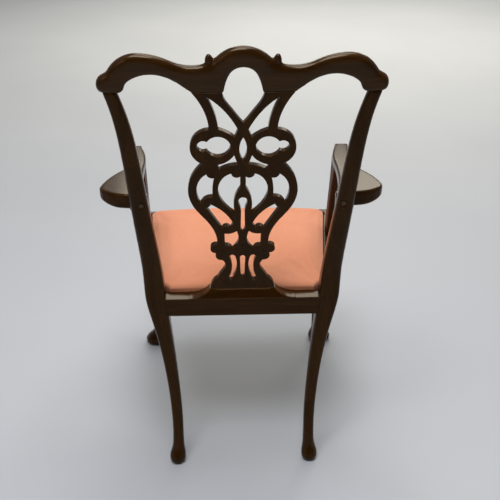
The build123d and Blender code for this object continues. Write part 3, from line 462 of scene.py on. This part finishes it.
def thicken(piece, thickness):
    skin = piece.modifiers.new("thickness", "SOLIDIFY")
    skin.thickness = thickness
    skin.offset = 0.0


# Carved pieces: an evenly meshed copy of each shaped piece of the frame stands for its node,
# with its edges eased
carved = {
    "heldShare": 0.08,  # smoothing left at a joint
    "heldFade": 0.05,
    "crestJoint": 0.006,
    "crestSharper": 4,  # the crest's hold fades this much faster
    "budX": 0.0615,
    "budHalf": 0.009,
    "budFoot": 0.943,
    "budAway": 0.01,
    "knuckle": 0.024,
    "headJoint": 0.002,
    "overRail": 0.02,
    "bellyDepth": 0.010,
    "bellyReach": 0.045,
    "bellyFade": 0.09,
    "bellyFrom": 0.07,
}
carvedWood = [  # finish, voxel, rounds of smoothing, nodes
    (crestWood, 0.0018, 90, ["crest_rail"]),
    (postWood, 0.0022, 40, ["left_back_post", "right_back_post"]),
    (postWood, 0.0022, 8, ["left_front_leg", "right_front_leg"]),
    (litArmPostWood, 0.0022, 6, ["left_arm_post", "right_arm_post"]),
    (woodForward, 0.0012, 14, ["left_arm", "right_arm"]),
]
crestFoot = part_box("crest_rail")[0].z
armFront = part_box("left_arm")[0].y
railLow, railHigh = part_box("rear_seat_rail")


def heldAt(node, place, c):
    # joints stay as cut: the crest's foot, the post's head, the post beside the rails
    z = place.z
    if node == "crest_rail":
        away = (z - crestFoot - c["crestJoint"]) * c["crestSharper"]
        if abs(abs(place.x) - c["budX"]) < c["budHalf"] and z > c["budFoot"]:
            away = c["budAway"]
    elif node.endswith("_arm"):
        away = place.y - armFront - c["knuckle"]
    elif node.endswith("back_post"):
        away = min(crestFoot - c["headJoint"] - z, max(z - railHigh.z - c["overRail"], railLow.z - z))
    else:
        return 1.0
    return within(away / c["heldFade"], c["heldShare"])


def swellArm(piece, low, high, c):
    # under its wide part the arm is deeper towards the post
    middle = (low.z + high.z) / 2
    reach = max(abs(low.x), abs(high.x))
    for vertex in piece.data.vertices:
        if vertex.co.z < middle:
            inward = within((reach - abs(vertex.co.x)) / c["bellyReach"])
            behind = within(1 - (high.y - c["bellyFrom"] - vertex.co.y) / c["bellyFade"])
            vertex.co.z -= c["bellyDepth"] * (1 - (1 - inward) ** 2) * ease(behind)


def carvedCopy(node, finish, voxel, rounds, c):
    piece = evenCopy(node, voxel)
    if node.endswith("_arm"):
        swellArm(piece, *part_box(node), c)
    free = piece.vertex_groups.new(name="free")
    for vertex in piece.data.vertices:
        free.add([vertex.index], heldAt(node, vertex.co, c), "REPLACE")
    smoothOver(piece, rounds, "free")
    applyModifiers(piece)
    piece.vertex_groups.clear()
    finishPiece(piece, finish, "chair_frame")
    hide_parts(node)


for finish, voxel, rounds, names in carvedWood:
    for name in names:
        carvedCopy(name, finish, voxel, rounds, carved)
print("carved pieces made")


# Seat cushion: the stuffed seat under its cloth, from the frame's underside to the crown
coverLow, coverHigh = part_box("seat_cover")
clothInset = 0.0006
cushion = {
    "sideSlope": 0.11888,
    "frontHalf": coverHigh.x - clothInset,
    "frontY": coverLow.y + clothInset,
    "backY": coverHigh.y - clothInset,
    "notchX": 0.1635,
    "notchY": 0.1491,
    "notchSize": 0.2,
    "bottom": coverLow.z,
    "frameTop": coverLow.z + 0.0214,
    "edgeRise": 0.0125,
    "crownRise": coverHigh.z - coverLow.z - 0.0219,
    "crownAcross": 2.6,  # powers of the dome's fall to the sides, and to front and back
    "crownAlong": 3.2,
    "crownLoss": 0.62,
    "crownMiddle": 0.96,
    "sideRound": 0.015,
    "frontRound": 0.021,
    "backRound": 0.006,
    "backDrop": 0.0095,
    "backSlope": 0.06,
    "cornerRound": 0.030,
    "overFrame": 0.003,  # least cloth and stuffing over the frame
    "frameVoxel": 0.003,
    "wall": 0.004,
    "valley": 0.0045,
    "valleyAt": 0.058,
    "valleyWidth": 0.02,
    "columns": 60,
    "rows": 56,
    "voxel": 0.005,
    "heldOver": 0.002,
    "pressure": 1.5,
    "stretchStiffness": 12,
    "bendStiffness": 0.6,
    "steps": 20,
    "cap": 0.003,
    "settleRounds": 8,
    "settleLeast": 0.15,
    "settleOver": 0.014,
    "fill": 0.8,
}


def halfWidth(y, c):
    return c["frontHalf"] - (y - c["frontY"]) * c["sideSlope"]


def edgeDrop(gap, r):
    # how far a rounded edge lies below the face, this near to its side
    return r - math.sqrt(r * r - (r - max(0.0, gap)) ** 2) if gap < r else 0.0


def cushionHeight(x, y, half, c):
    across = min(1.0, abs(x) / half)
    fromFront = y - c["frontY"]
    fromBack = c["backY"] - y
    share = fromBack / (c["backY"] - c["frontY"])
    along = 1 - abs(2 * share - c["crownMiddle"]) ** c["crownAlong"] * c["crownLoss"]
    dome = max(0.0, (1 - across ** c["crownAcross"]) * along)
    z = c["frameTop"] + c["edgeRise"] + (c["crownRise"] - c["edgeRise"]) * dome
    z -= c["backDrop"] * max(0.0, 1 - fromBack / c["backSlope"]) ** 2
    dip = math.exp(-((fromFront - c["valleyAt"]) / c["valleyWidth"]) ** 2)
    z -= c["valley"] * dip * (1 - across ** 4)
    z -= max(edgeDrop(half - abs(x), c["sideRound"]), edgeDrop(fromFront, c["frontRound"]))
    z -= edgeDrop(fromBack, c["backRound"])
    return max(z, c["frameTop"] + c["overFrame"])


def makeCushion(c):
    mesh = bmesh.new()
    columns, rows = c["columns"], c["rows"]
    top, low = [], []
    for j in range(rows + 1):
        share = 0.5 - 0.5 * math.cos(math.pi * j / rows)
        y = c["frontY"] + share * (c["backY"] - c["frontY"])
        half = halfWidth(y, c)
        places = [-half * math.cos(math.pi * i / columns) for i in range(columns + 1)]
        top.append([mesh.verts.new((x, y, cushionHeight(x, y, half, c))) for x in places])
        low.append([mesh.verts.new((x, y, c["bottom"])) for x in places])
    for j in range(rows):
        for i in range(columns):
            mesh.faces.new((top[j][i], top[j][i + 1], top[j + 1][i + 1], top[j + 1][i]))
            mesh.faces.new((low[j][i], low[j + 1][i], low[j + 1][i + 1], low[j][i + 1]))
        mesh.faces.new((top[j][0], top[j + 1][0], low[j + 1][0], low[j][0]))
        mesh.faces.new((top[j][columns], low[j][columns], low[j + 1][columns], top[j + 1][columns]))
    for i in range(columns):
        mesh.faces.new((top[0][i], low[0][i], low[0][i + 1], top[0][i + 1]))
        mesh.faces.new((top[rows][i], top[rows][i + 1], low[rows][i + 1], low[rows][i]))
    data = bpy.data.meshes.new("seatCushion")
    bmesh.ops.recalc_face_normals(mesh, faces=mesh.faces)
    mesh.to_mesh(data)
    mesh.free()
    return data


def cutNotches(piece, c):
    # the rear corners leave room for the back posts
    cutter = bmesh.new()
    size = c["notchSize"]
    for hand in (1, -1):
        middle = Vector((hand * (c["notchX"] + size / 2), c["notchY"] + size / 2, c["bottom"]))
        bmesh.ops.create_cube(cutter, size=size, matrix=Matrix.Translation(middle))
    data = bpy.data.meshes.new("notches")
    cutter.to_mesh(data)
    cutter.free()
    tool = addObject("notches", data)
    cut = piece.modifiers.new("notches", "BOOLEAN")
    cut.operation = "DIFFERENCE"
    cut.solver = "EXACT"
    cut.object = tool
    applyModifiers(piece)
    bpy.data.objects.remove(tool)


def swellCushion(piece, c):
    # cloth under pressure, with the part on the frame held still
    rest = [v.co.copy() for v in piece.data.vertices]
    held = piece.vertex_groups.new(name="held")
    held.add([i for i, p in enumerate(rest) if p.z < c["frameTop"] + c["heldOver"]], 1.0, "REPLACE")
    cloth = piece.modifiers.new("swell", "CLOTH")
    cloth.settings.vertex_group_mass = "held"
    cloth.settings.quality = 5
    cloth.settings.use_pressure = True
    cloth.settings.uniform_pressure_force = c["pressure"]
    cloth.settings.tension_stiffness = c["stretchStiffness"]
    cloth.settings.compression_stiffness = c["stretchStiffness"]
    cloth.settings.bending_stiffness = c["bendStiffness"]
    cloth.settings.effector_weights.gravity = 0.0
    scene = bpy.context.scene
    for step in range(1, c["steps"] + 1):
        scene.frame_set(step)
    graph = bpy.context.evaluated_depsgraph_get()
    swollen = [v.co.copy() for v in piece.evaluated_get(graph).data.vertices]
    piece.modifiers.clear()
    scene.frame_set(1)
    for vertex, start, end in zip(piece.data.vertices, rest, swollen):
        move = end - start
        if move.length > c["cap"]:
            move = move.normalized() * c["cap"]
        vertex.co = start + move
    piece.vertex_groups.clear()


def roundCorner(p, c):
    # a point near a front corner of the seat moves in, from a square plan to a round one
    inX = c["cornerRound"] - (halfWidth(p.y, c) - abs(p.x))
    inY = c["cornerRound"] - (p.y - c["frontY"])
    if inX > 0 and inY > 0:
        share = max(inX, inY) / math.hypot(inX, inY)
        p.y = c["frontY"] + c["cornerRound"] - inY * share
        p.x = math.copysign(halfWidth(p.y, c) - c["cornerRound"] + inX * share, p.x)


def tighten(gap, share, c):
    # points near a wall lie closer to it, the nearest ones most
    if 0 < gap < c["wall"]:
        return gap + share * (gap ** 3 / c["wall"] ** 2 - gap)
    return gap


def squareFoot(piece, c):
    # the cloth lies tight on the seat frame's sides: straight walls, and round front corners
    for vertex in piece.data.vertices:
        p = vertex.co
        share = within((c["frameTop"] + 2 * c["overFrame"] - p.z) / c["overFrame"])
        p.y = c["frontY"] + tighten(p.y - c["frontY"], share, c)
        half = halfWidth(p.y, c)
        if p.y < c["notchY"] - c["cornerRound"]:
            p.x = math.copysign(half - tighten(half - abs(p.x), share, c), p.x)
        roundCorner(p, c)


def stuffSeat(c):
    piece = addObject("seatCushion", makeCushion(c))
    cutNotches(piece, c)
    meshEvenly(piece, c["voxel"])
    swellCushion(piece, c)
    top = piece.vertex_groups.new(name="top")
    for vertex in piece.data.vertices:
        free = within((vertex.co.z - c["frameTop"]) / c["settleOver"], c["settleLeast"])
        top.add([vertex.index], free, "REPLACE")
    smoothOver(piece, c["settleRounds"], "top")
    finer = piece.modifiers.new("finer", "SUBSURF")
    finer.levels = 1
    finer.render_levels = 1
    applyModifiers(piece)
    squareFoot(piece, c)
    finishPiece(piece, seatCloth, "drop_in_seat")
    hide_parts("seat_cover", "seat_pad")
    print("seat cushion made,", len(piece.data.vertices), "points")


def roundedFrame(node, c):
    # a rail of the seat frame with the cushion's round front corners
    piece = evenCopy(node, c["frameVoxel"])
    for vertex in piece.data.vertices:
        roundCorner(vertex.co, c)
    finishPiece(piece, nodes[node].data.materials[0], "drop_in_seat")
    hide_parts(node)


stuffSeat(cushion)
for name in ("seat_frame_front", "seat_frame_left", "seat_frame_right"):
    roundedFrame(name, cushion)
print("seat frame made")

# Sheets of cloth in the seat: a grid over the seat's plan, drawn in, with a little sag
dustSheet = {
    "node": "seat_dust_cloth",
    "slot": "dust_cloth",
    "finish": dustWeave,
    "inset": 0.028,
    "sag": 0.0022,
    "thick": 0.0006,
    "cells": 30,
}
juteSheet = {
    "node": "seat_hessian",
    "slot": "hessian",
    "finish": juteWeave,
    "inset": 0.012,
    "sag": 0.0,
    "thick": 0.0008,
    "cells": 30,
}


def seatSheet(name, s, c):
    mesh = bmesh.new()
    cells, inset = s["cells"], s["inset"]
    low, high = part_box(s["node"])
    z = (low.z + high.z) / 2
    front = c["frontY"] + inset
    back = c["backY"] - inset
    grid = []
    for j in range(cells + 1):
        y = front + (back - front) * j / cells
        half = halfWidth(y, c) - inset
        if y > c["notchY"] - inset:
            half = min(half, c["notchX"] - inset)
        row = []
        for i in range(cells + 1):
            u = 2 * i / cells - 1
            v = 2 * j / cells - 1
            row.append(mesh.verts.new((u * half, y, z - s["sag"] * (1 - u ** 2) * (1 - v ** 2))))
        grid.append(row)
    for j in range(cells):
        for i in range(cells):
            mesh.faces.new((grid[j][i], grid[j][i + 1], grid[j + 1][i + 1], grid[j + 1][i]))
    data = bpy.data.meshes.new(name)
    mesh.to_mesh(data)
    area = sum(f.calc_area() for f in mesh.faces)
    mesh.free()
    piece = addObject(name, data)
    finishPiece(piece, s["finish"], "drop_in_seat")
    thicken(piece, s["thick"])
    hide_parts(s["node"])


seatSheet("dustCloth", dustSheet, cushion)
seatSheet("hessianSheet", juteSheet, cushion)

# Webbing: straps each way, one over and one under
webbing = {
    "width": 0.05,
    "thick": 0.0012,
    "lift": 0.0015,
    "slope": 0.012,  # run in which a strap climbs over another
    "count": 4,
    "pitchX": 0.074,
    "reach": 0.03,
    "steps": 96,
}


def addStrap(mesh, start, end, crossings, place, w):
    # crossings: where it meets the other straps, and whether it goes over each
    previous = None
    for k in range(w["steps"] + 1):
        t = start + (end - start) * k / w["steps"]
        lift = 0.0
        for crossing, over in crossings:
            if over:
                near = within(1 - (abs(t - crossing) - w["width"] / 2) / w["slope"])
                lift = max(lift, w["lift"] * ease(near))
        pair = [mesh.verts.new(place(t, side * w["width"] / 2, lift)) for side in (-1, 1)]
        if previous:
            mesh.faces.new((previous[0], previous[1], pair[1], pair[0]))
        previous = pair


def makeWebbing(w):
    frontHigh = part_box("seat_frame_front")[1]
    y0, y1 = frontHigh.y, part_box("seat_frame_back")[0].y
    base = frontHigh.z + w["thick"] / 2
    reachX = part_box("seat_webbing")[1].x
    count = w["count"]
    placesX = [(k - (count - 1) / 2) * w["pitchX"] for k in range(count)]
    placesY = [y0 + (k + 0.5) * (y1 - y0) / count for k in range(count)]
    mesh = bmesh.new()
    for n, x in enumerate(placesX):
        crossings = [(y, (n + k) % 2 == 0) for k, y in enumerate(placesY)]
        addStrap(mesh, y0 - w["reach"], y1 + w["reach"], crossings,
                 lambda t, s, lift, x=x: (x + s, t, base + lift), w)
    for n, y in enumerate(placesY):
        crossings = [(x, (n + k) % 2 == 1) for k, x in enumerate(placesX)]
        half = reachX - (y - placesY[0]) * cushion["sideSlope"]
        addStrap(mesh, -half, half, crossings, lambda t, s, lift, y=y: (t, y + s, base + lift), w)
    data = bpy.data.meshes.new("webbingStraps")
    mesh.to_mesh(data)
    mesh.free()
    piece = addObject("webbingStraps", data)
    finishPiece(piece, strapWeave, "drop_in_seat")
    thicken(piece, w["thick"])
    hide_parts("seat_webbing")


makeWebbing(webbing)
print("seat cloths made")

# Pale studio floor
studioFloor = {
    "low": (-14, -16),
    "high": (14, 12),
    "deep": (0.51, 0.525, 0.565),
    "pale": (0.54, 0.555, 0.595),
    "rough": 0.7,
}


def makeFloor(f):
    material, tree, shader = startMaterial("studioFloor")
    place = put(tree, "ShaderNodeTexCoord").outputs["Object"]
    cloud = noise(tree, place, 1.2, 3.0).outputs["Fac"]
    tone = blendColour(tree, spread(tree, cloud, 0.3, 0.7), f["deep"], f["pale"])
    tree.links.new(tone, shader.inputs["Base Color"])
    shader.inputs["Roughness"].default_value = f["rough"]
    (x0, y0), (x1, y1) = f["low"], f["high"]
    data = bpy.data.meshes.new("studioFloor")
    data.from_pydata([(x0, y0, 0), (x1, y0, 0), (x1, y1, 0), (x0, y1, 0)], [], [(0, 1, 2, 3)])
    data.materials.append(material)
    addObject("studioFloor", data)


makeFloor(studioFloor)

# Soft lamps: place, aim, size, watts and colour
lamps = {
    "ceilingLamp": ((-0.2, -0.3, 3.0), (0, 0, 0.5), (1.5, 0.8), 24, (1, 1, 1)),
    "frontLamp": ((-1.0, -4.6, 3.1), (-1.0, -4.4, 0), (4.0, 3.2), 175, (1.0, 0.95, 0.80)),
    "rearLamp": ((1.9, 2.2, 1.8), (0, 0.2, 0.7), (1.0, 1.4), 4, (1, 1, 1)),
    "highLamp": ((0.3, 1.0, 2.9), (0, 0.2, 0.7), (1.3, 1.1), 42, (1, 1, 1)),
}
for name, (place, aim, size, watts, colour) in lamps.items():
    data = bpy.data.lights.new(name, "AREA")
    data.shape = "RECTANGLE"
    data.size, data.size_y = size
    data.energy = watts
    data.color = colour
    lamp = addObject(name, data)
    lamp.location = place
    lamp.rotation_euler = (Vector(aim) - Vector(place)).to_track_quat("-Z", "Y").to_euler()

# The room is bright in front of the chair and above it, and dim behind the camera
roomLight = {
    "colour": (0.93, 0.96, 1.0, 1),
    "bright": 0.32,
    "dim": 0.05,
    "backdrop": 0.7,
}


def makeRoom(room):
    world = bpy.data.worlds.new("studioWorld")
    world.use_nodes = True
    tree = world.node_tree
    back = tree.nodes["Background"]
    toward = put(tree, "ShaderNodeTexCoord").outputs["Generated"]
    axes = put(tree, "ShaderNodeSeparateXYZ", Vector=toward)
    level = spread(tree, axes.outputs["Y"], 0.0, 0.7, room["bright"], room["dim"])
    seen = put(tree, "ShaderNodeLightPath").outputs["Is Camera Ray"]
    level = maths(tree, "MAXIMUM", level, maths(tree, "MULTIPLY", seen, room["backdrop"]))
    tree.links.new(level, back.inputs["Strength"])
    back.inputs["Color"].default_value = room["colour"]
    return world


scene = bpy.context.scene
scene.world = makeRoom(roomLight)
scene.view_settings.view_transform = "Standard"
print("floor and lamps placed")
